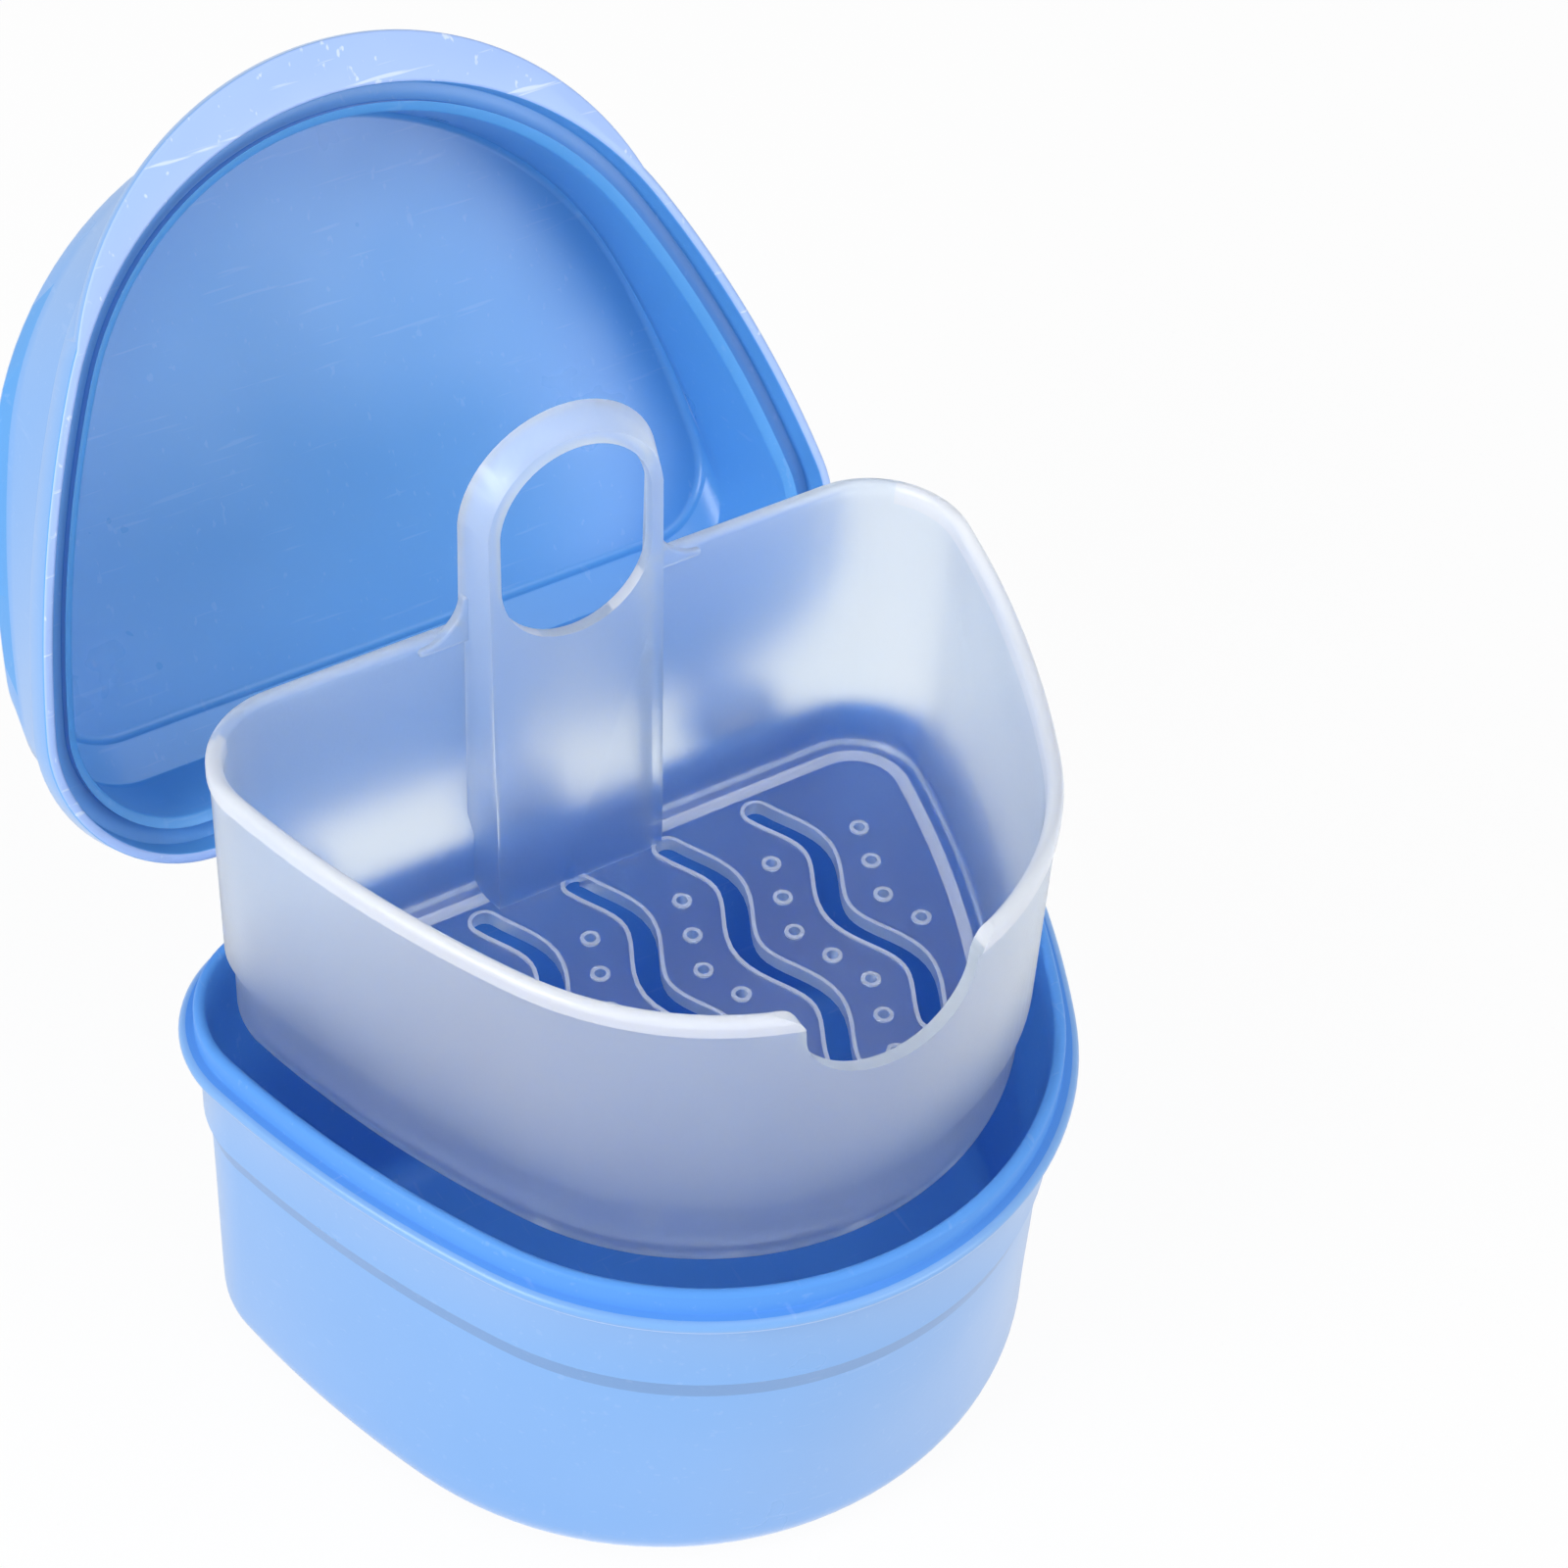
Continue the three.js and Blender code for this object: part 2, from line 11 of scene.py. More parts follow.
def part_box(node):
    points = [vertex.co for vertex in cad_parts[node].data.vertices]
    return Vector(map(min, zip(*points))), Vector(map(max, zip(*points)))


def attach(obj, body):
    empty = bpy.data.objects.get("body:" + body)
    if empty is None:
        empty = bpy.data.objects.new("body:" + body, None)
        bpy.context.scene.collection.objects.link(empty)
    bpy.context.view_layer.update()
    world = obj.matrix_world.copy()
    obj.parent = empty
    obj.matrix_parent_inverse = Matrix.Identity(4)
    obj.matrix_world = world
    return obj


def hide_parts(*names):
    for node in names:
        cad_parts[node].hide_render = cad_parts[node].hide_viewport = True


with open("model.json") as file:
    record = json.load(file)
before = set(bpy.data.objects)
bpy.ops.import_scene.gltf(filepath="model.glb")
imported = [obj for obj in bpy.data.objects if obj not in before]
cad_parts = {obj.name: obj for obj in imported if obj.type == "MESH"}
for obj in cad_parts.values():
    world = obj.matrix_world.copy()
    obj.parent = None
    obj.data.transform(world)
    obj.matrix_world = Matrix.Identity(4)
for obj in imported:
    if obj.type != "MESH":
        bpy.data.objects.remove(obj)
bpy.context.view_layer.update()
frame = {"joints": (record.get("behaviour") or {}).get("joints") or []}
bpy.ops.object.select_all(action="DESELECT")

mm = 0.001


# Camera

aim = Vector((7.27 * mm, 0, 78.45 * mm))
azimuth = math.radians(-35)
elevation = math.radians(43.84)
roll = math.radians(3.88)
distance = 380 * mm
focal_length = 88.84
sensor_width = 36
away = Vector((
    math.sin(azimuth) * math.cos(elevation),
    -math.cos(azimuth) * math.cos(elevation),
    math.sin(elevation),
))
bpy.ops.object.camera_add(location=aim + away * distance)
camera = bpy.context.object
camera.rotation_euler = (away.to_track_quat("Z", "Y") @ Quaternion((0, 0, 1), roll)).to_euler()
camera.data.lens = focal_length
camera.data.sensor_width = sensor_width
bpy.context.scene.camera = camera
bpy.context.scene.view_settings.view_transform = "Standard"


# Light, backdrop and floor
# The case stands in an even white surround with large soft lamps at the left, at the right and
# overhead. Camera, mirror and see-through rays meet plain white.

surround_level = 0.5
surround_tint = (0.96, 0.98, 1, 1)
plain_white = (1, 1, 1, 1)
floor_grey = (0.86, 0.86, 0.86, 1)
floor_size = 6
floor_drop = 0.1 * mm
floor_plain_share = 0.94


def wire(tree, source, target):
    """Links one socket of a node tree to another."""
    tree.links.new(source, target)


def calculate(tree, operation, first, second):
    """Works a value out from two others, each given as a number or as a socket."""
    node = tree.nodes.new("ShaderNodeMath")
    node.operation = operation
    for value, socket in ((first, node.inputs[0]), (second, node.inputs[1])):
        if isinstance(value, (int, float)):
            socket.default_value = value
        else:
            wire(tree, value, socket)
    return node.outputs[0]


def seen_directly(tree):
    """Is 1 for what the camera sees itself, in a gloss or through a clear piece."""
    rays = tree.nodes.new("ShaderNodeLightPath").outputs
    plain_or_gloss = calculate(tree, "MAXIMUM", rays["Is Camera Ray"], rays["Is Glossy Ray"])
    return calculate(tree, "MAXIMUM", plain_or_gloss, rays["Is Transmission Ray"])


world = bpy.data.worlds.new("surround")
bpy.context.scene.world = world
world.use_nodes = True
tree = world.node_tree
tree.nodes.clear()
ambient = tree.nodes.new("ShaderNodeBackground")
ambient.inputs["Color"].default_value = surround_tint
ambient.inputs["Strength"].default_value = surround_level
backdrop = tree.nodes.new("ShaderNodeBackground")
backdrop.inputs["Color"].default_value = plain_white
backdrop.inputs["Strength"].default_value = 1
choice = tree.nodes.new("ShaderNodeMixShader")
world_out = tree.nodes.new("ShaderNodeOutputWorld")
wire(tree, seen_directly(tree), choice.inputs["Fac"])
wire(tree, ambient.outputs[0], choice.inputs[1])
wire(tree, backdrop.outputs[0], choice.inputs[2])
wire(tree, choice.outputs[0], world_out.inputs["Surface"])


def add_softbox(name, place, size, power):
    """A large square lamp that faces the case."""
    towards = aim - Vector(place)
    bpy.ops.object.light_add(type="AREA", location=place)
    lamp = bpy.context.object
    lamp.name = name
    lamp.rotation_euler = towards.to_track_quat("-Z", "Y").to_euler()
    lamp.data.shape = "SQUARE"
    lamp.data.size = size
    lamp.data.energy = power


add_softbox("left_softbox", place=(-0.85, -0.1, 0.5), size=0.5, power=6.5)
add_softbox("right_softbox", place=(0.4, -0.8, 0.15), size=0.5, power=3.2)
add_softbox("top_softbox", place=(0.2, -0.4, 0.85), size=0.6, power=2)

bpy.ops.mesh.primitive_plane_add(size=floor_size, location=(0, 0, -floor_drop))
floor = bpy.context.object
floor.name = "floor"
material = bpy.data.materials.new("pale_floor")
material.use_nodes = True
tree = material.node_tree
tree.nodes.clear()
paint = tree.nodes.new("ShaderNodeBsdfDiffuse")
paint.inputs["Color"].default_value = floor_grey
plain = tree.nodes.new("ShaderNodeEmission")
plain.inputs["Color"].default_value = plain_white
choice = tree.nodes.new("ShaderNodeMixShader")
floor_out = tree.nodes.new("ShaderNodeOutputMaterial")
share = calculate(tree, "MULTIPLY", seen_directly(tree), floor_plain_share)
wire(tree, share, choice.inputs["Fac"])
wire(tree, paint.outputs[0], choice.inputs[1])
wire(tree, plain.outputs[0], choice.inputs[2])
wire(tree, choice.outputs[0], floor_out.inputs["Surface"])
floor.data.materials.append(material)
bpy.ops.object.select_all(action="DESELECT")


# Base: the tub that the denture soaks in. One blue polypropylene moulding: its wall rises from a
# rounded foot through a raised band to the flange, and the upright ring on the flange takes the
# lid. Three pairs of ears at the back hold short pins, moulded in one with it.

base_low, base_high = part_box("base")
case_width = base_high.x - base_low.x
case_depth = -2 * base_low.y
ring_top = base_high.z
corner_radius = 15.5 * mm
nose_radius = 39.7 * mm
side_radius = 135.3 * mm
ring_height = 2.8 * mm
flange_top = ring_top - ring_height
flange_thickness = 1.5 * mm
ring_inset = 1.64 * mm
ring_thickness = 1.27 * mm
band_inset = 1.95 * mm
step_height = 31.2 * mm
step_rise = 2.7 * mm
step_inset = 0.7 * mm
base_wall = 1.65 * mm
base_floor = 1.6 * mm
foot_side_inset = 2.9 * mm
foot_nose_inset = 4.75 * mm
foot_corner_radius = 12 * mm
foot_nose_radius = 40.5 * mm
foot_edge_radius = 5.2 * mm
soft_edge = 0.22 * mm
touch = 0.001 * mm
height_slack = 10 * touch
lead = 1 * mm
outline_steps = 22
wall_cuts = 8


def draw_outline(width, depth, corner, nose, side, height, shift=0):
    """Draws the case's outline as a loose loop of edges, at its place.

    Straight back, two corner arcs, two long side arcs and a nose arc, each tangent to the next.
    """
    corner_at = Vector((width / 2 - corner, depth / 2 - corner))
    nose_at = Vector((0, nose - depth / 2))
    between = (nose_at - corner_at).length
    from_corner = side - corner
    from_nose = side - nose
    along = (from_corner**2 - from_nose**2 + between**2) / (2 * between)
    out = math.sqrt(from_corner**2 - along**2)
    line = (nose_at - corner_at) / between
    side_at = corner_at + line * along + Vector((line.y, -line.x)) * out
    corner_end = math.atan2(corner_at.y - side_at.y, corner_at.x - side_at.x)
    nose_start = math.atan2(nose_at.y - side_at.y, nose_at.x - side_at.x)
    arcs = [
        (corner_at, corner, math.pi / 2, corner_end),
        (side_at, side, corner_end, nose_start),
        (nose_at, nose, nose_start, -math.pi / 2),
    ]
    reaches = [4 / 3 * math.tan((start - end) / 4) * radius for _, radius, start, end in arcs]
    joints = []
    for number, (centre, radius, start, _) in enumerate(arcs):
        before = reaches[number - 1] if number else corner_at.x * 2 / 3
        joints.append((centre, radius, start, before, reaches[number]))
    centre, radius, _, end = arcs[-1]
    joints.append((centre, radius, end, reaches[-1], reaches[-1]))
    knots = []
    for centre, radius, angle, before, after in joints:
        place = Vector((centre.x + radius * math.cos(angle), centre.y + radius * math.sin(angle)))
        heading = Vector((math.sin(angle), -math.cos(angle)))
        knots.append((place - heading * before, place, place + heading * after))
    mirrored = [
        tuple(Vector((-point.x, point.y)) for point in reversed(knot)) for knot in knots[-2::-1]
    ]
    bpy.ops.curve.primitive_bezier_circle_add()
    curve = bpy.context.object
    loop = curve.data.splines[0]
    knots = knots + mirrored
    loop.bezier_points.add(len(knots) - len(loop.bezier_points))
    for bezier, knot in zip(loop.bezier_points, knots):
        left, place, right = (Vector((point.x, point.y + shift, height)) for point in knot)
        bezier.handle_left_type = "FREE"
        bezier.handle_right_type = "FREE"
        bezier.co = place
        bezier.handle_left = left
        bezier.handle_right = right
    curve.data.resolution_u = outline_steps
    bpy.ops.object.convert(target="MESH")
    return bpy.context.object


def case_outline(inset, height, shift=0):
    """The case's outline, drawn in from the flange's edge."""
    return draw_outline(
        case_width - 2 * inset, case_depth - 2 * inset,
        corner_radius - inset, nose_radius - inset, side_radius - inset, height, shift,
    )


def bend(radius, start, end, steps=6):
    """The steps of a rounded edge seen in section: 0 faces out, 90 up, 180 in and -90 down."""
    angles = [math.radians(start + (end - start) * step / steps) for step in range(steps + 1)]
    return [
        (radius * (math.cos(a) - math.cos(b)), radius * (math.sin(b) - math.sin(a)))
        for a, b in zip(angles, angles[1:])
    ]


def edit_whole():
    """Opens the active piece for editing, with all of it selected."""
    bpy.ops.object.mode_set(mode="EDIT")
    bpy.ops.mesh.select_all(action="SELECT")


def close_facing_out():
    """Turns the faces of the piece being edited outwards and ends the editing."""
    bpy.ops.mesh.select_all(action="SELECT")
    bpy.ops.mesh.normals_make_consistent(inside=False)
    bpy.ops.object.mode_set(mode="OBJECT")


def faces_outwards():
    """Whether the wall that ends in the selected loop faces away from the case's middle."""
    shape = bmesh.from_edit_mesh(bpy.context.object.data)
    return sum(corner.normal.xy.dot(corner.co.xy) for corner in shape.verts if corner.select) > 0


def walk(steps):
    """Carries the selected loop on by (inwards, upwards) steps, with wall behind it."""
    inward = None
    for inwards, upwards in steps:
        bpy.ops.mesh.extrude_region_move(TRANSFORM_OT_translate={"value": (0, 0, lead)})
        if inward is None:
            inward = -1 if faces_outwards() else 1
        bpy.ops.transform.shrink_fatten(value=inward * inwards, use_even_offset=True)
        bpy.ops.transform.translate(value=(0, 0, upwards - lead))


def walk_and_close(steps):
    """Carries the active outline through these steps and closes its end with a flat face."""
    edit_whole()
    walk(steps)
    bpy.ops.mesh.edge_face_add()
    bpy.ops.object.mode_set(mode="OBJECT")


def pick_open_edges(*heights):
    """Selects the open or loose edges that lie at these heights, in edit mode."""
    bpy.ops.mesh.select_mode(type="EDGE")
    bpy.ops.mesh.select_all(action="DESELECT")
    shape = bmesh.from_edit_mesh(bpy.context.object.data)
    for edge in shape.edges:
        middle = sum((corner.co.z for corner in edge.verts), 0) / 2
        near = min(abs(middle - height) for height in heights) < height_slack
        edge.select_set(near and len(edge.link_faces) < 2)
    bmesh.update_edit_mesh(bpy.context.object.data)


def join(*objects):
    """Makes one object of several, under the first one's name."""
    bpy.ops.object.select_all(action="DESELECT")
    for piece in objects:
        piece.select_set(True)
    bpy.context.view_layer.objects.active = objects[0]
    if len(objects) > 1:
        bpy.ops.object.join()
    return objects[0]


def finish_mesh(piece, name, smooth_angle=40):
    """Names a piece, settles it at the origin, closes its seams and shades it."""
    join(piece)
    bpy.ops.object.transform_apply(location=True, rotation=True, scale=True)
    edit_whole()
    bpy.ops.mesh.remove_doubles(threshold=touch)
    bpy.ops.mesh.delete_loose()
    close_facing_out()
    bpy.ops.object.shade_smooth_by_angle(angle=math.radians(smooth_angle), keep_sharp_edges=True)
    piece.name = name
    piece.data.name = name
    bpy.ops.object.select_all(action="DESELECT")
    return piece


def combine(body, tool, operation="UNION"):
    """Joins a tool to a body, or cuts the body with it, and takes the tool away."""
    change = body.modifiers.new("change", "BOOLEAN")
    change.operation = operation
    change.solver = "EXACT"
    change.object = tool
    join(body)
    bpy.ops.object.modifier_apply(modifier=change.name)
    bpy.data.objects.remove(tool)


def soften(piece, width=soft_edge, segments=2, angle=35):
    """Rounds the sharp edges of a piece, as a mould does."""
    edge = piece.modifiers.new("soft_edge", "BEVEL")
    edge.width = width
    edge.segments = segments
    edge.limit_method = "ANGLE"
    edge.angle_limit = math.radians(angle)
    edge.use_clamp_overlap = True
    join(piece)
    bpy.ops.object.modifier_apply(modifier=edge.name)


flange_edge = flange_thickness / 2
ring_edge = ring_thickness / 2
flange_underside = flange_top - flange_thickness
band_foot = step_height + step_rise
foot_depth = case_depth - foot_nose_inset - foot_side_inset
foot_shift = (foot_nose_inset - foot_side_inset) / 2


def draw_foot(inset, height):
    """The outline that the tub's wall draws in to at its foot."""
    return draw_outline(
        case_width - 2 * (foot_side_inset + inset), foot_depth - 2 * inset,
        foot_corner_radius - inset, foot_nose_radius - inset, side_radius - inset,
        height, foot_shift,
    )


foot = draw_foot(0, foot_edge_radius)
walk_and_close(bend(foot_edge_radius, 0, -90, steps=10))
inner_edge_radius = foot_edge_radius - base_wall
inner_edge_top = base_floor + inner_edge_radius
inner_foot = draw_foot(base_wall, inner_edge_top)
walk_and_close([*bend(inner_edge_radius, 0, -90, steps=8), (soft_edge, 0)])
base = case_outline(band_inset + step_inset, step_height)
edit_whole()
walk([
    (-step_inset, step_rise),
    (0, flange_underside - band_foot),
    (flange_edge - band_inset, 0),
    *bend(flange_edge, -90, 90),
    (ring_inset - flange_edge, 0),
    (0, ring_height - ring_edge),
    *bend(ring_edge, 0, 180),
    (0, -ring_height + ring_edge - flange_thickness),
    (band_inset + base_wall - ring_inset - ring_thickness, band_foot - flange_underside),
])
bpy.ops.object.mode_set(mode="OBJECT")
base = join(base, foot, inner_foot)
bpy.ops.object.mode_set(mode="EDIT")
pick_open_edges(step_height, foot_edge_radius)
bpy.ops.mesh.bridge_edge_loops(number_cuts=wall_cuts)
pick_open_edges(band_foot)
walk([(step_inset, -step_rise)])
pick_open_edges(step_height, inner_edge_top)
bpy.ops.mesh.bridge_edge_loops(number_cuts=wall_cuts)
close_facing_out()
soften(base)

hinge = Vector(frame["joints"][0]["pos_m"])
pin_radius = 1.25 * mm
pin_gap = 0.3 * mm
pin_sides = 24
knuckle_gap = 0.3 * mm
knuckle_wall = 1.2 * mm
knuckle_radius = pin_radius + pin_gap + knuckle_wall
ear_thickness = 2.4 * mm
ear_root_drop = 7 * mm
ear_root_depth = 0.8 * mm
ear_top_drop = 0.35 * mm
ear_foot_angle = -135
hinge_spacing = 56 * mm
side_hinge_width = 10.5 * mm
middle_hinge_width = 9 * mm
hinge_places = [
    (-hinge_spacing / 2, side_hinge_width),
    (0, middle_hinge_width),
    (hinge_spacing / 2, side_hinge_width),
]


def pull(corners, travel):
    """A solid made by drawing a flat outline through these corners and pulling it along travel."""
    bpy.ops.mesh.primitive_circle_add(vertices=len(corners), fill_type="NGON")
    solid = bpy.context.object
    edit_whole()
    shape = bmesh.from_edit_mesh(solid.data)
    for corner, place in zip(shape.verts, corners):
        corner.co = place
    bmesh.update_edit_mesh(solid.data)
    bpy.ops.mesh.extrude_region_move(TRANSFORM_OT_translate={"value": travel})
    close_facing_out()
    return solid


def round_hinge(radius, start, end, steps=20):
    """Places (y, z) on a circle round the hinge's axis, by the angle in degrees."""
    angles = [math.radians(start + (end - start) * step / steps) for step in range(steps + 1)]
    return [(hinge.y + radius * math.cos(a), hinge.z + radius * math.sin(a)) for a in angles]


def across(section, centre_x, width):
    """A block across the hinge with this (y, z) section, its edges softened."""
    block = pull([(centre_x - width / 2, y, z) for y, z in section], (width, 0, 0))
    soften(block)
    return block


band_back = case_depth / 2 - band_inset
ear_top = flange_top - ear_top_drop
ear_lean = math.degrees(math.asin((ear_top - hinge.z) / knuckle_radius))
ear_section = [
    (band_back - ear_root_depth, flange_top - ear_root_drop),
    (band_back, flange_top - ear_root_drop),
    *round_hinge(knuckle_radius, ear_foot_angle, 180 - ear_lean, steps=32),
    (band_back - ear_root_depth, ear_top),
]
pin_section = round_hinge(pin_radius, 0, 360 - 360 / pin_sides, steps=pin_sides - 1)
for centre_x, width in hinge_places:
    ear_offset = (width - ear_thickness) / 2
    combine(base, across(ear_section, centre_x - ear_offset, ear_thickness))
    combine(base, across(ear_section, centre_x + ear_offset, ear_thickness))
    combine(base, across(pin_section, centre_x, width - ear_thickness))

# The band's lower border and the foot of the slope under it are crisp lines
join(base)
bpy.ops.object.mode_set(mode="EDIT")
bpy.ops.mesh.select_mode(type="EDGE")
bpy.ops.mesh.select_all(action="DESELECT")
shape = bmesh.from_edit_mesh(base.data)
for edge in shape.edges:
    ends = [corner.co.z for corner in edge.verts]
    faced_out = sum(
        face.normal.xy.dot(face.calc_center_median().xy) for face in edge.link_faces
    )
    edge.select_set(faced_out > 0 and any(
        max(abs(end - level) for end in ends) < touch for level in (step_height, band_foot)
    ))
bmesh.update_edit_mesh(base.data)
bpy.ops.mesh.mark_sharp()
bpy.ops.object.mode_set(mode="OBJECT")
finish_mesh(base, "tub")

# Base finish: glossy inside, with a slightly hazed, paler outside; the paler blue is painted sheen,
# for the light that the outside reflects
base_blue = (0.09, 0.29, 0.74)
base_blue_light = (0.11, 0.32, 0.77)
base_painted_sheen = (0.16, 0.36, 0.72)
base_painted_sheen_light = (0.19, 0.39, 0.75)
base_shade = (0.1, 0.26, 0.56)
scratch_tone = (0.66, 0.75, 0.93)

# The faces of each finish are told apart by their height and by how far their normals rise
inner_floor_zone = 10 * mm
upward_normal = 0.5
upright_normal = 0.8


def new_plastic(name, ior):
    """A plastic, with its node tree, its shader and the piece's own coordinates."""
    material = bpy.data.materials.new(name)
    material.use_nodes = True
    tree = material.node_tree
    shader = tree.nodes["Principled BSDF"]
    shader.inputs["IOR"].default_value = ior
    place = tree.nodes.new("ShaderNodeTexCoord").outputs["Object"]
    return material, tree, shader, place


def clouds(tree, place, scale, detail=3, stretch=(1, 1, 1), turn=0):
    """Soft noise with this many patches per metre, which stretch crowds along an axis."""
    mapping = tree.nodes.new("ShaderNodeMapping")
    mapping.inputs["Scale"].default_value = stretch
    mapping.inputs["Rotation"].default_value = (0, 0, math.radians(turn))
    noise = tree.nodes.new("ShaderNodeTexNoise")
    noise.inputs["Scale"].default_value = scale
    noise.inputs["Detail"].default_value = detail
    wire(tree, place, mapping.inputs["Vector"])
    wire(tree, mapping.outputs["Vector"], noise.inputs["Vector"])
    return noise.outputs["Fac"]


def ranged(tree, amount, low, high, start=0.25, end=0.75):
    """Turns a noise into values from low to high."""
    change = tree.nodes.new("ShaderNodeMapRange")
    change.inputs["From Min"].default_value = start
    change.inputs["From Max"].default_value = end
    change.inputs["To Min"].default_value = low
    change.inputs["To Max"].default_value = high
    wire(tree, amount, change.inputs["Value"])
    return change.outputs["Result"]


def blend(tree, amount, first, second):
    """Mixes two colours, each given as numbers or as a socket."""
    mix = tree.nodes.new("ShaderNodeMix")
    mix.data_type = "RGBA"
    wire(tree, amount, mix.inputs[0])
    for colour, socket in ((first, mix.inputs[6]), (second, mix.inputs[7])):
        if isinstance(colour, tuple):
            socket.default_value = (*colour, 1)
        else:
            wire(tree, colour, socket)
    return mix.outputs[2]


def add_bump(tree, amount, strength, height, under=None):
    """A relief from a noise, laid over another relief where one is given."""
    bump = tree.nodes.new("ShaderNodeBump")
    bump.inputs["Strength"].default_value = strength
    bump.inputs["Distance"].default_value = height
    wire(tree, amount, bump.inputs["Height"])
    if under is not None:
        wire(tree, under, bump.inputs["Normal"])
    return bump.outputs["Normal"]


def blue_plastic(name, colour, lighter, smooth, dull, shine=0.5, bloom=0, wear=0.06):
    """Moulded blue plastic: faint clouds of colour, patchy gloss, fine grain, hair scratches."""
    material, tree, shader, place = new_plastic(name, ior=1.49)
    broad = ranged(tree, clouds(tree, place, scale=25), 0, 1)
    tinted = blend(tree, broad, colour, lighter)
    crossing = clouds(tree, place, scale=90, detail=2, stretch=(1, 14, 14), turn=28)
    lengthwise = clouds(tree, place, scale=70, detail=2, stretch=(16, 1, 10), turn=-17)
    scratches = calculate(
        tree, "MAXIMUM",
        ranged(tree, crossing, 0, 1, start=0.66, end=0.72),
        ranged(tree, lengthwise, 0, 1, start=0.67, end=0.73),
    )
    faint = calculate(tree, "MULTIPLY", scratches, wear)
    wire(tree, blend(tree, faint, tinted, scratch_tone), shader.inputs["Base Color"])
    shader.inputs["Specular IOR Level"].default_value = shine
    shader.inputs["Sheen Weight"].default_value = bloom
    shader.inputs["Sheen Roughness"].default_value = 0.4
    gloss = ranged(tree, clouds(tree, place, scale=60, detail=4), smooth, dull)
    wire(tree, gloss, shader.inputs["Roughness"])
    grain = clouds(tree, place, scale=1600, detail=2)
    ripple = clouds(tree, place, scale=55, detail=2)
    relief = add_bump(tree, grain, strength=0.1, height=0.05 * mm)
    relief = add_bump(tree, ripple, strength=0.12, height=0.2 * mm, under=relief)
    relief = add_bump(tree, scratches, strength=wear, height=0.02 * mm, under=relief)
    wire(tree, relief, shader.inputs["Normal"])
    return material


def painted_sheen_outside(name):
    """The paler, slightly hazed blue on the outside of both mouldings: painted sheen, for the light
    their outsides reflect.
    """
    return blue_plastic(name, base_painted_sheen, base_painted_sheen_light, smooth=0.26, dull=0.36, bloom=0.5)


def dress(piece, *materials):
    """Gives a piece its materials; all its faces take the first until others are painted."""
    piece.data.materials.clear()
    for material in materials:
        piece.data.materials.append(material)


def paint_faces(piece, number, wanted):
    """Gives a piece's numbered material to the faces whose middle and normal pass a test."""
    for face in piece.data.polygons:
        if wanted(face.center, face.normal):
            face.material_index = number


dress(
    base,
    painted_sheen_outside("base_outside_painted_sheen"),
    blue_plastic("base_inside", base_blue, base_blue_light, smooth=0.3, dull=0.4, shine=0.12),
    blue_plastic("base_step_painted_shade", base_shade, base_shade, smooth=0.3, dull=0.4, bloom=0.2),
)
# Faces above the flange's top, the inner floor and the inner walls take the inside blue; the others
# keep the outside's paler blue, which is painted sheen
paint_faces(base, 1, lambda middle, normal: (
    middle.z > flange_top - touch
    or normal.z > upward_normal and middle.z < inner_floor_zone
    or middle.y < band_back - base_wall / 2 and middle.z > base_floor / 2
    and normal.xy.dot(middle.xy) < 0 and abs(normal.z) < upright_normal
))
# The sloping strip under the band takes a darker blue: painted shade under the band
paint_faces(base, 2, lambda middle, normal: (
    step_height < middle.z < band_foot and normal.xy.dot(middle.xy) > 0
))
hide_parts("base")
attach(base, "base_body")


# Lid: the cover that snaps over the base's ring. One blue polypropylene moulding, a shallow dome
# with a rebated rim, a flat thumb flange at the nose and clips at the back that snap on the pins.
# It is modelled shut and then swung open on its hinge.

rest_gap = 0.3 * mm
ring_gap = 0.35 * mm
rim_height = flange_top + rest_gap
rim_edge = 0.25 * mm
skirt_height = 3.6 * mm
skirt_flare = 0.2 * mm
rebate_depth = 3.8 * mm
rebate_draft = 0.12 * mm
rebate_inset = ring_inset - ring_gap
ridge_inset = ring_inset + ring_thickness + ring_gap
ridge_rise = 2.51 * mm
dome_inset = 4.34 * mm
dome_start = 3.42 * mm
shoulder_rise = 17.9 * mm
shoulder_side_inset = 5.24 * mm
shoulder_nose_inset = 5.43 * mm
shoulder_back_inset = 4.9 * mm
shoulder_corner_radius = 9.4 * mm
shoulder_nose_radius = 38 * mm
ceiling_side_inset = 5.35 * mm
ceiling_nose_inset = 5.56 * mm
ceiling_back_inset = 9.44 * mm
ceiling_corner_radius = 8.9 * mm
ceiling_nose_radius = 39.8 * mm
ceiling_edge_radius = 1 * mm
dome_depth = 20.6 * mm
lid_wall = 1.8 * mm
lid_soft_edge = 0.15 * mm
lid_shoulder_lift = 1.25 * mm
ceiling = rim_height + dome_depth
lid_open_angle = math.radians(117)


def draw_shoulder(inset, height):
    """The outline that the dome's wall reaches where the slope at its back begins."""
    return draw_outline(
        case_width - 2 * (shoulder_side_inset + inset),
        case_depth - shoulder_nose_inset - shoulder_back_inset - 2 * inset,
        shoulder_corner_radius - inset, shoulder_nose_radius - inset, side_radius - inset,
        height, (shoulder_nose_inset - shoulder_back_inset) / 2,
    )


def draw_ceiling(inset, height, edge_radius):
    """The top of the dome inside or outside: its outline, rounded over and closed flat."""
    top = draw_outline(
        case_width - 2 * (ceiling_side_inset + inset),
        case_depth - ceiling_nose_inset - ceiling_back_inset - 2 * inset,
        ceiling_corner_radius - inset, ceiling_nose_radius - inset, side_radius - inset,
        height, (ceiling_nose_inset - ceiling_back_inset) / 2,
    )
    walk_and_close(bend(edge_radius, 0, 90))
    return top


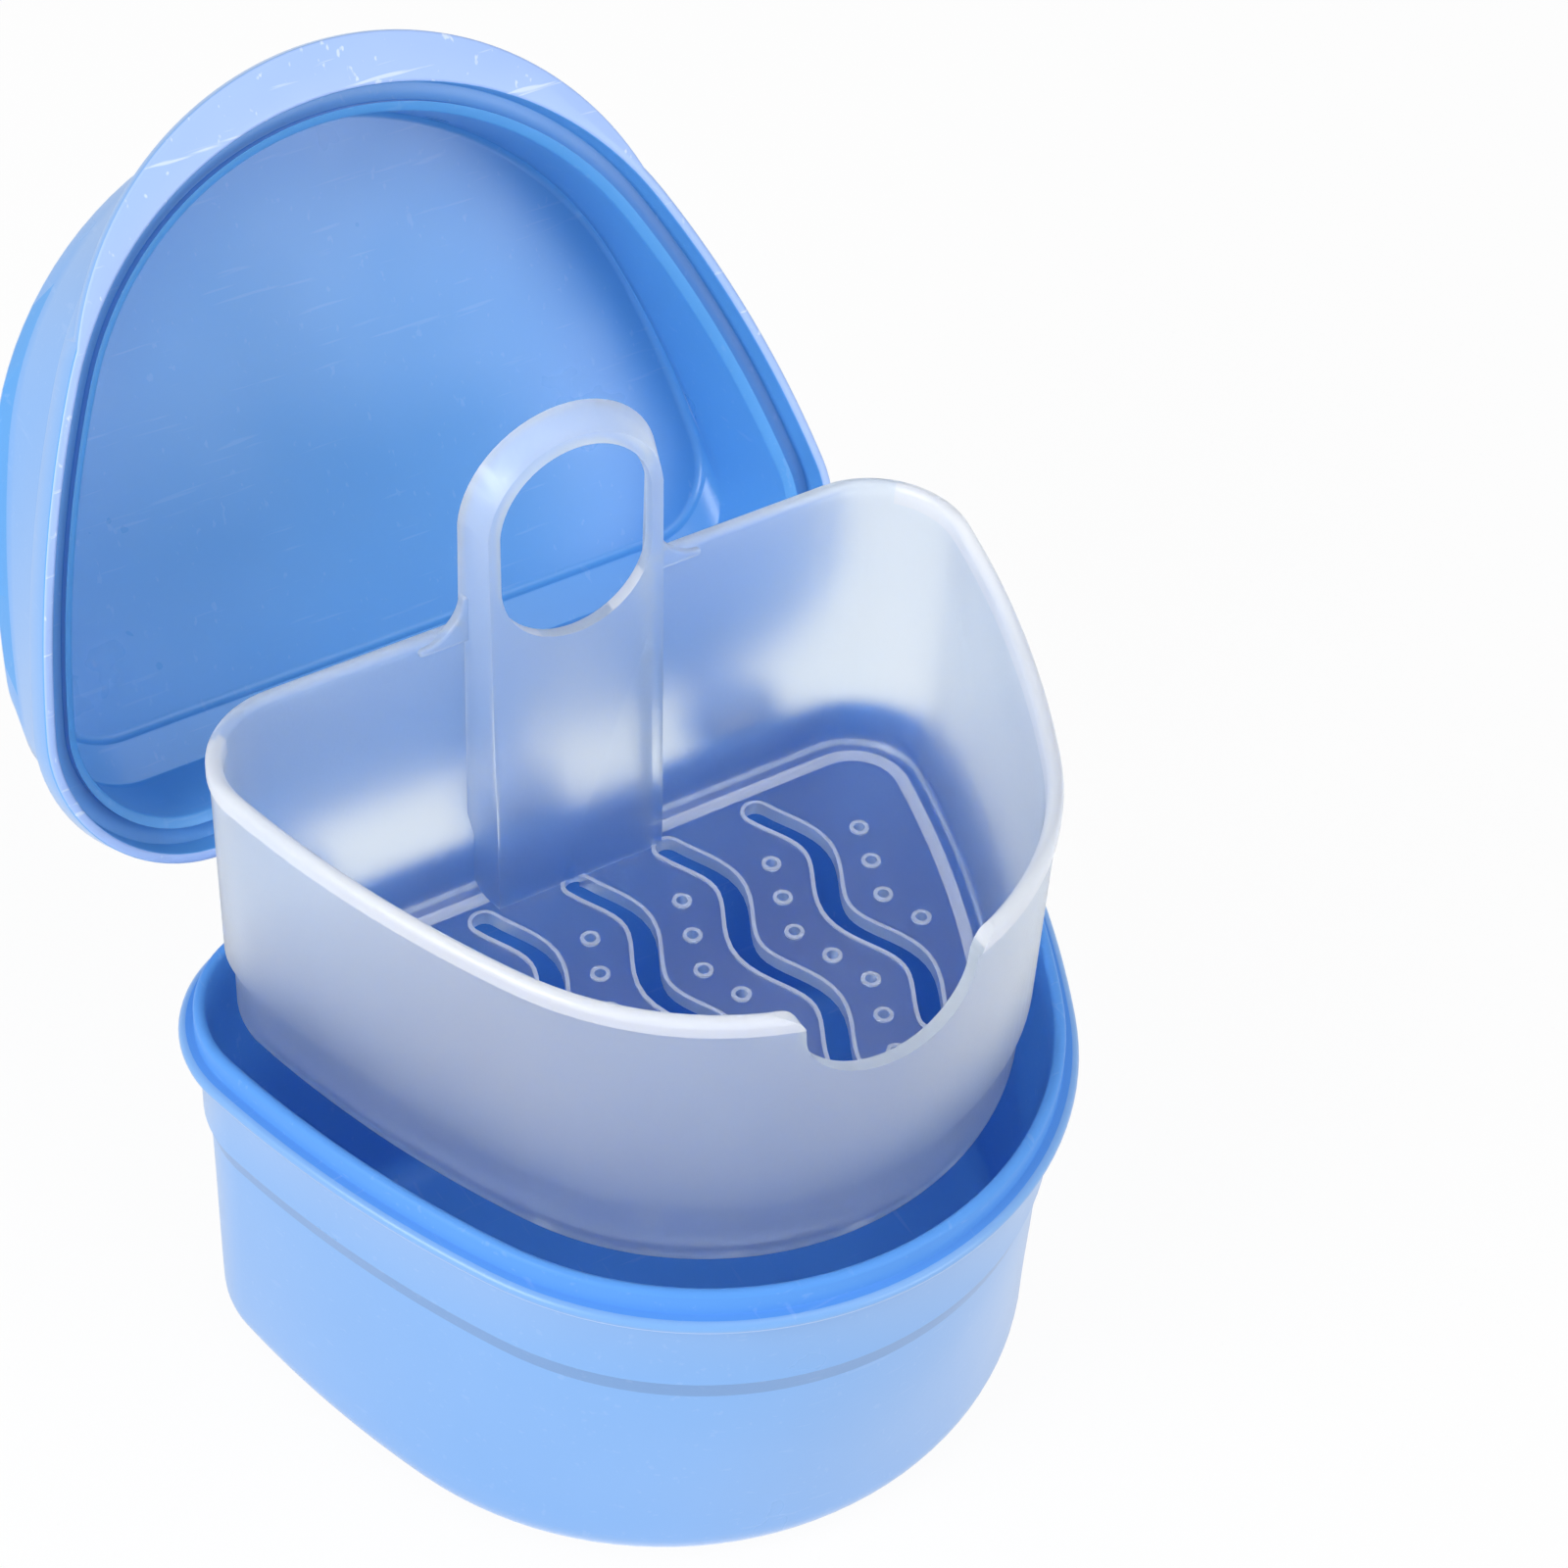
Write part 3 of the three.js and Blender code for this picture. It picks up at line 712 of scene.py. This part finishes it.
shoulder_height = rim_height + shoulder_rise
outside_start = rim_height + skirt_height + lid_wall + rim_edge
lid = case_outline(dome_inset, rim_height + dome_start)
edit_whole()
walk([
    (ridge_inset - dome_inset, ridge_rise - dome_start),
    (0, rebate_depth - ridge_rise),
    (rebate_inset - ridge_inset, 0),
    (-rebate_draft, rim_edge - rebate_depth),
    (-rim_edge, -rim_edge),
    (2 * rim_edge + rebate_draft - rebate_inset, 0),
    (-rim_edge, rim_edge),
    (-skirt_flare, skirt_height - rim_edge),
    (skirt_flare + rim_edge, skirt_flare + rim_edge),
    (dome_inset - lid_wall - 2 * rim_edge, lid_wall - skirt_flare - rim_edge),
    (rim_edge, rim_edge),
])
bpy.ops.object.mode_set(mode="OBJECT")
lid = join(
    lid,
    draw_shoulder(0, shoulder_height),
    draw_shoulder(-lid_wall, shoulder_height + lid_shoulder_lift),
    draw_ceiling(0, ceiling - ceiling_edge_radius, ceiling_edge_radius),
    draw_ceiling(-lid_wall, ceiling, lid_wall),
)
bpy.ops.object.mode_set(mode="EDIT")
for start, end, cuts_between in (
    (rim_height + dome_start, shoulder_height, wall_cuts),
    (shoulder_height, ceiling - ceiling_edge_radius, 0),
    (outside_start, shoulder_height + lid_shoulder_lift, wall_cuts),
    (shoulder_height + lid_shoulder_lift, ceiling, 0),
):
    pick_open_edges(start, end)
    bpy.ops.mesh.bridge_edge_loops(number_cuts=cuts_between)
close_facing_out()
soften(lid, width=lid_soft_edge)

thumb_radius = 35.9 * mm
thumb_reach = 4.45 * mm
thumb_thickness = 1.6 * mm
thumb_seat = 0.6 * mm
thumb_edge = 0.3 * mm
thumb_facets = 192
overrun = 4 * mm
bpy.ops.mesh.primitive_cylinder_add(
    vertices=thumb_facets, radius=thumb_radius, depth=thumb_thickness,
    location=(0, thumb_radius - case_depth / 2 - thumb_reach, rim_height + thumb_thickness / 2),
)
thumb = bpy.context.object
bpy.ops.object.transform_apply(location=True, rotation=True, scale=True)
soften(thumb, width=thumb_edge, segments=3)
seat = case_outline(thumb_seat, rim_height - overrun)
edit_whole()
bpy.ops.mesh.edge_face_add()
bpy.ops.mesh.extrude_region_move(TRANSFORM_OT_translate={"value": (0, 0, 3 * overrun)})
close_facing_out()
combine(thumb, seat, "DIFFERENCE")
combine(lid, thumb)

clip_root_rise = 4.4 * mm
clip_root_depth = 0.8 * mm
clip_mouth_angle = 300
clip_mouth_half_angle = 38
mouth_start = clip_mouth_angle - clip_mouth_half_angle
mouth_end = clip_mouth_angle + clip_mouth_half_angle - 360
bore_radius = pin_radius + pin_gap
root_y = case_depth / 2 - clip_root_depth
clip_lean = math.degrees(math.asin((rim_height - hinge.z) / knuckle_radius))
clip_section = [
    (root_y, rim_height),
    *round_hinge(knuckle_radius, 180 - clip_lean, mouth_start),
    *round_hinge(bore_radius, mouth_start, mouth_end),
    *round_hinge(knuckle_radius, mouth_end, 90),
    (case_depth / 2 + skirt_flare, rim_height + clip_root_rise),
    (root_y, rim_height + clip_root_rise),
]
for centre_x, width in hinge_places:
    combine(lid, across(clip_section, centre_x, width - 2 * (ear_thickness + knuckle_gap)))

join(lid)
edit_whole()
bpy.ops.transform.rotate(value=lid_open_angle, orient_axis="X", center_override=hinge)
bpy.ops.object.mode_set(mode="OBJECT")
finish_mesh(lid, "cover")

# Lid finish: glossy all over; the thumb flange is paler and rubbed across by opening
lid_blue = (0.085, 0.31, 0.69)
lid_blue_light = (0.105, 0.34, 0.73)
flange_blue = (0.3, 0.46, 0.84)
flange_blue_light = (0.38, 0.52, 0.87)
flat_normal = 0.7
steep_normal = 0.3
dress(
    lid,
    blue_plastic("lid_inside", lid_blue, lid_blue_light, smooth=0.26, dull=0.34),
    blue_plastic(
        "thumb_flange", flange_blue, flange_blue_light, smooth=0.28, dull=0.5, wear=0.7,
    ),
    painted_sheen_outside("lid_outside_painted_sheen"),
)
lid_axes = Quaternion((1, 0, 0), lid_open_angle)
paint_faces(lid, 1, lambda middle, normal: (
    (lid_axes @ (middle - hinge)).z + hinge.z < rim_height + thumb_thickness + touch
    and abs((lid_axes @ normal).z) > flat_normal
))
# The dome's outside takes the paler blue of painted sheen, as the tub's outside does
paint_faces(lid, 2, lambda middle, normal: (
    (lid_axes @ normal).z > steep_normal
    or (lid_axes @ normal).xy.dot((lid_axes @ (middle - hinge)).xy + hinge.xy) > 0
    and abs((lid_axes @ normal).z) < steep_normal
))
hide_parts("lid")
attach(lid, "lid_body")


# Strainer basket: lifts the denture out of the soak. One clear frosted polypropylene moulding
# with a rounded lip, a pouring notch at the nose, wavy drain slots and small drain holes in its
# floor, and at the back a handle with a finger hole, which is the back wall folded inwards.

basket_low, basket_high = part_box("strainer_basket")
basket_gap = 2.05 * mm
basket_shift = 0.5 * mm
basket_wall = 1.4 * mm
basket_floor = 1.4 * mm
basket_depth = 36.5 * mm
lip_width = 1.65 * mm
lip_height = 2.2 * mm
lip_overhang = 0.3 * mm
wall_draft = 0.25 * mm
shelf_height = 9.5 * mm
shelf_rise = 2.5 * mm
shelf_inset = 0.9 * mm
basket_edge_radius = 4 * mm
lip_edge = lip_width / 2
basket_inset = ring_inset + ring_thickness + basket_gap
foot_inset = basket_inset + lip_overhang + wall_draft + shelf_inset
foot_level = basket_low.z
floor_level = foot_level + basket_floor
lip_top = floor_level + basket_depth
shelf_top = foot_level + shelf_height + shelf_rise
inner_radius = basket_edge_radius - basket_wall
wall_rise = lip_top - lip_height - shelf_top
outside = [
    *bend(basket_edge_radius, -90, 0, steps=8),
    (0, shelf_height - basket_edge_radius),
    (-shelf_inset, shelf_rise),
    (-wall_draft, wall_rise),
    (-lip_overhang, lip_overhang),
    (0, lip_height - lip_overhang - lip_edge),
    *bend(lip_edge, 0, 90, steps=5),
]
inside = [
    *bend(lip_edge, 90, 180, steps=5),
    (lip_overhang + basket_wall - lip_width, lip_edge - lip_height),
    (wall_draft, -wall_rise),
    (shelf_inset, -shelf_rise),
    (0, basket_floor + inner_radius - shelf_height),
    *bend(inner_radius, 0, -90, steps=6),
    (soft_edge, 0),
]


def basket_solid(steps):
    """A closed solid whose wall follows these steps up from the basket's foot."""
    solid = case_outline(foot_inset + basket_edge_radius, foot_level, basket_shift)
    edit_whole()
    walk(steps)
    bpy.ops.mesh.edge_face_add()
    pick_open_edges(foot_level)
    bpy.ops.mesh.edge_face_add()
    close_facing_out()
    return solid


basket = basket_solid(outside + inside)
envelope = basket_solid(outside)

# Handle: an arch that tapers to the front, its plate leaning forwards towards the floor
handle_front_width = 20.1 * mm
handle_back_width = 22.9 * mm
handle_front_height = 21.75 * mm
handle_back_height = 23.4 * mm
handle_depth = 3.3 * mm
handle_lean = 2.7 * mm
handle_back_inset = 0.9 * mm
handle_wall = 1.35 * mm
finger_hole_height = 23.05 * mm
handle_edge = 0.35 * mm
handle_facets = 64
wall_opening_share = 0.45
handle_back = case_depth / 2 - basket_inset + basket_shift - handle_back_inset
handle_front = handle_back - handle_depth


def draw_arch(half_width, top, bottom, y, round_foot=False):
    """A loop in an upright plane: a half circle over a straight-sided foot."""
    bpy.ops.mesh.primitive_circle_add(
        vertices=handle_facets, radius=half_width, location=(0, y, top - half_width),
        rotation=(math.pi / 2, 0, 0),
    )
    arch = bpy.context.object
    bpy.ops.object.transform_apply(location=True, rotation=True, scale=True)
    bpy.ops.object.mode_set(mode="EDIT")
    bpy.ops.mesh.select_mode(type="VERT")
    shape = bmesh.from_edit_mesh(arch.data)
    for corner in shape.verts:
        corner.select_set(corner.co.z < top - half_width + touch)
    bmesh.update_edit_mesh(arch.data)
    if round_foot:
        bpy.ops.transform.translate(value=(0, 0, bottom + 2 * half_width - top))
    else:
        bpy.ops.transform.resize(value=(1, 1, 0), center_override=(0, y, bottom))
    bpy.ops.object.mode_set(mode="OBJECT")
    return arch


def close_between(front, back):
    """Makes a solid of two like upright loops."""
    solid = join(front, back)
    bpy.ops.object.mode_set(mode="EDIT")
    bpy.ops.mesh.select_mode(type="EDGE")
    bpy.ops.mesh.select_all(action="SELECT")
    bpy.ops.mesh.bridge_edge_loops()
    bpy.ops.mesh.select_all(action="SELECT")
    bpy.ops.mesh.fill_holes(sides=0)
    close_facing_out()
    return solid


def channel_solid(shrink, front_cut, past):
    """The handle's tapering arch, made smaller all round and carried straight on past its back."""
    def at(front, back, y):
        """A size between the handle's front and its back, this far back."""
        return front + (back - front) * (y - handle_front) / handle_depth

    ends = []
    for y in (handle_front + front_cut, handle_back):
        half = at(handle_front_width, handle_back_width, y) / 2 - shrink
        top = lip_top + at(handle_front_height, handle_back_height, y) - shrink
        foot = foot_level - overrun if shrink else floor_level - basket_floor / 2
        ends.append(draw_arch(half, top, foot, y))
    for corner in ends[0].data.vertices:
        drop = lip_top + handle_front_height - corner.co.z
        corner.co.y -= handle_lean * drop / (handle_front_height + basket_depth)
    solid = close_between(*ends)
    if past:
        bpy.ops.object.mode_set(mode="EDIT")
        bpy.ops.mesh.select_mode(type="FACE")
        bpy.ops.mesh.select_all(action="DESELECT")
        shape = bmesh.from_edit_mesh(solid.data)
        for face in shape.faces:
            face.select_set(min(corner.co.y for corner in face.verts) > handle_back - touch)
        bmesh.update_edit_mesh(solid.data)
        bpy.ops.mesh.extrude_region_move(TRANSFORM_OT_translate={"value": (0, past, 0)})
        bpy.ops.object.mode_set(mode="OBJECT")
    return solid


channel = channel_solid(shrink=0, front_cut=0, past=0)
channel_inside = channel_solid(shrink=handle_wall, front_cut=handle_wall, past=overrun)
combine(channel, channel_inside, "DIFFERENCE")
hole_half = handle_front_width / 2 - handle_wall
hole_top = lip_top + handle_front_height - handle_wall
hole = close_between(*(
    draw_arch(hole_half, hole_top, hole_top - finger_hole_height, y, round_foot=True)
    for y in (handle_front - overrun, handle_front + handle_wall + overrun / 2)
))
combine(channel, hole, "DIFFERENCE")
soften(channel, width=handle_edge, segments=3)

# A flat web at each side carries the lip up into the handle in a hollow curve
fillet_radius = 5 * mm
fillet_steps = 12
web_reach = handle_back_width / 2 + fillet_radius
web_middle = handle_back_width / 2 - handle_wall / 2
web_low = lip_top - lip_width
web_turn = [math.radians(270 - 90 * step / fillet_steps) for step in range(fillet_steps + 1)]
for side in (-1, 1):
    corners = [(web_middle, web_low), (web_reach, web_low), *(
        (
            web_reach + fillet_radius * math.cos(angle),
            lip_top - lip_edge + fillet_radius + fillet_radius * math.sin(angle),
        )
        for angle in web_turn
    ), (web_middle, lip_top - lip_edge + fillet_radius)]
    web = pull(
        [(side * x, handle_back - basket_wall, z) for x, z in corners], (0, basket_wall, 0),
    )
    soften(web, width=handle_edge, segments=3)
    combine(basket, web)

# The back wall opens behind the channel, and the channel stays inside the wall below the lip
wall_opening = channel_solid(handle_wall * wall_opening_share, front_cut=0, past=overrun)
combine(basket, wall_opening, "DIFFERENCE")
upper = join(channel)
bpy.ops.object.duplicate()
lower = bpy.context.object
cut_level = lip_top - lip_width
for half, keep_low in ((lower, True), (upper, False)):
    join(half)
    edit_whole()
    bpy.ops.mesh.bisect(
        plane_co=(0, 0, cut_level), plane_no=(0, 0, 1), use_fill=True,
        clear_outer=keep_low, clear_inner=not keep_low,
    )
    bpy.ops.object.mode_set(mode="OBJECT")
combine(lower, envelope, "INTERSECT")
combine(basket, lower)
combine(basket, upper)

# Pouring notch at the nose
notch_half = 9.5 * mm
notch_depth = 10.4 * mm
notch_corner_reach = 3.7 * mm
notch_corner_drop = 3.4 * mm
notch_corner_steps = 8
notch_arc_steps = 12
half_notch = [(-notch_half - notch_corner_reach, overrun)]
for step in range(notch_corner_steps + 1):
    run = step / notch_corner_steps
    half_notch.append((
        -notch_half - notch_corner_reach * (1 - run)**2, -notch_corner_drop * run**2,
    ))
for step in range(1, notch_arc_steps + 1):
    angle = math.pi / 2 * step / notch_arc_steps
    half_notch.append((
        -notch_half * math.cos(angle),
        -notch_corner_drop - (notch_depth - notch_corner_drop) * math.sin(angle),
    ))
notch = half_notch + [(-x, z) for x, z in reversed(half_notch[:-1])]
notch_tool = pull(
    [(x, basket_low.y - overrun, lip_top + z) for x, z in notch], (0, 3 * overrun, 0),
)
combine(basket, notch_tool, "DIFFERENCE")

# Drain slots and holes, each with a fine raised edge on the floor
slot_pitch = 11.3 * mm
slot_width = 2.7 * mm
slot_count = 5
wave_height = 1.65 * mm
row_pitch = 4.9 * mm
rows_per_wave = 4
first_row = 17 * mm
drain_radius = 0.62 * mm
drain_facets = 28
slot_head_room = 2.6 * mm
pattern_margin = 3.2 * mm
raised_width = 0.45 * mm
raised_height = 0.22 * mm
margin = case_outline(foot_inset + basket_wall + pattern_margin, floor_level)
margin_points = [corner.co.xy for corner in margin.data.vertices]
margin_lines = [[margin_points[end] for end in edge.vertices] for edge in margin.data.edges]
bpy.data.objects.remove(margin)


def wave(y):
    """How far the slots and the rows of holes swing to the side, this far back."""
    return wave_height * math.cos(2 * math.pi * (y - first_row) / (rows_per_wave * row_pitch))


def front_edge(x):
    """How near to the nose the pattern runs, this far across."""
    crossed = [line for line in margin_lines if (line[0].x - x) * (line[1].x - x) < 0]
    return min((
        start.y + (end.y - start.y) * (x - start.x) / (end.x - start.x) for start, end in crossed
    ), default=case_depth / 2)


def wavy_bar(centre_x, width, low, high, steps=36, cap_steps=10):
    """A bar with round ends that follows a slot's wave, from one height to another."""
    start = first_row + row_pitch + slot_head_room
    end = front_edge(abs(centre_x) + wave_height) + slot_width
    half = width / 2
    rows = []
    for step in range(steps + 1):
        y = start + (end - start) * step / steps
        slope = (wave(y + touch) - wave(y - touch)) / (2 * touch)
        across_x, across_y = 1 / math.hypot(1, slope), -slope / math.hypot(1, slope)
        rows.append((centre_x + wave(y), y, across_x * half, across_y * half))
    right = [(x + dx, y + dy) for x, y, dx, dy in rows]
    left = [(x - dx, y - dy) for x, y, dx, dy in rows]
    outline = []
    for flank, (x, y, dx, dy), side in ((right, rows[-1], 1), (left[::-1], rows[0], -1)):
        heading = math.atan2(side * dy, side * dx)
        turn = [heading - math.pi * step / cap_steps for step in range(1, cap_steps)]
        outline += flank
        outline += [(x + half * math.cos(angle), y + half * math.sin(angle)) for angle in turn]
    return pull([(x, y + basket_shift, low) for x, y in outline], (0, 0, high - low))


def round_bar(x, y, radius, low, high):
    """A round bar that stands in the floor, from one height to another."""
    bpy.ops.mesh.primitive_cylinder_add(
        vertices=drain_facets, radius=radius, depth=high - low, location=(x, y, (low + high) / 2),
    )
    bar = bpy.context.object
    bpy.ops.object.transform_apply(location=True, rotation=True, scale=True)
    return bar


edges = []
cuts = []
raised_from = floor_level - basket_floor / 2
raised_top = floor_level + raised_height
for number in range(slot_count):
    x = (number - (slot_count - 1) / 2) * slot_pitch
    edges.append(wavy_bar(x, slot_width + 2 * raised_width, raised_from, raised_top))
    cuts.append(wavy_bar(x, slot_width, foot_level - overrun, floor_level + overrun))
for number in range(slot_count + 1):
    x = (number - slot_count / 2) * slot_pitch
    y = first_row
    while y > front_edge(abs(x) + wave_height):
        place = (x + wave(y), y + basket_shift)
        edges.append(round_bar(*place, drain_radius + raised_width, raised_from, raised_top))
        cuts.append(round_bar(*place, drain_radius, foot_level - overrun, floor_level + overrun))
        y -= row_pitch
combine(basket, join(*edges))
combine(basket, join(*cuts), "DIFFERENCE")
finish_mesh(basket, "strainer")

# Basket finish: milky see-through plastic with a frosted skin; the lip and the raised outlines on
# the floor show whiter, partly as they are thicker to look through and partly as painted highlight
# on their edges
basket_clear = (0.81, 0.9, 1)
basket_clear_light = (0.87, 0.93, 1)
basket_edge_painted_highlight = (0.9, 0.93, 1)
basket_edge_painted_highlight_light = (0.97, 0.98, 1)


def frosted_plastic(name, colour, lighter, see_through, milkiness, smooth, dull):
    """Frosted clear plastic: light passes on through it and is scattered a little inside."""
    material, tree, shader, place = new_plastic(name, ior=1.25)
    broad = ranged(tree, clouds(tree, place, scale=45), 0, 1)
    wire(tree, blend(tree, broad, colour, lighter), shader.inputs["Base Color"])
    apart = tree.nodes.new("ShaderNodeSeparateXYZ")
    wire(tree, place, apart.inputs[0])
    # The plastic is made less see-through, and so whiter, from the foot up to the top: painted
    # light from above
    at_foot, at_top = see_through
    clear = ranged(tree, apart.outputs["Z"], at_foot, at_top, start=foot_level, end=basket_high.z)
    wire(tree, clear, shader.inputs["Transmission Weight"])
    shader.inputs["Coat Weight"].default_value = milkiness
    shader.inputs["Coat Roughness"].default_value = 0.32
    gloss = ranged(tree, clouds(tree, place, scale=80, detail=4), smooth, dull)
    wire(tree, gloss, shader.inputs["Roughness"])
    grain = clouds(tree, place, scale=2600, detail=3)
    flow = clouds(tree, place, scale=30, detail=2, stretch=(3, 3, 1))
    relief = add_bump(tree, grain, strength=0.25, height=0.05 * mm)
    relief = add_bump(tree, flow, strength=0.06, height=0.3 * mm, under=relief)
    wire(tree, relief, shader.inputs["Normal"])
    return material


dress(
    basket,
    frosted_plastic(
        "frosted_wall", basket_clear, basket_clear_light,
        see_through=(0.985, 0.75), milkiness=0.6, smooth=0.42, dull=0.5,
    ),
    frosted_plastic(
        "frosted_edge_painted_highlight", basket_edge_painted_highlight, basket_edge_painted_highlight_light,
        see_through=(0.62, 0.5), milkiness=0.6, smooth=0.34, dull=0.42,
    ),
)
# The lip and the raised outlines take the whiter edge finish, partly painted highlight
paint_faces(basket, 1, lambda middle, normal: (
    abs(middle.z - lip_top) < lip_width and middle.y < handle_front
    or middle.z > floor_level + touch and middle.z < raised_top + touch
))
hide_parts("strainer_basket")
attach(basket, "basket_body")
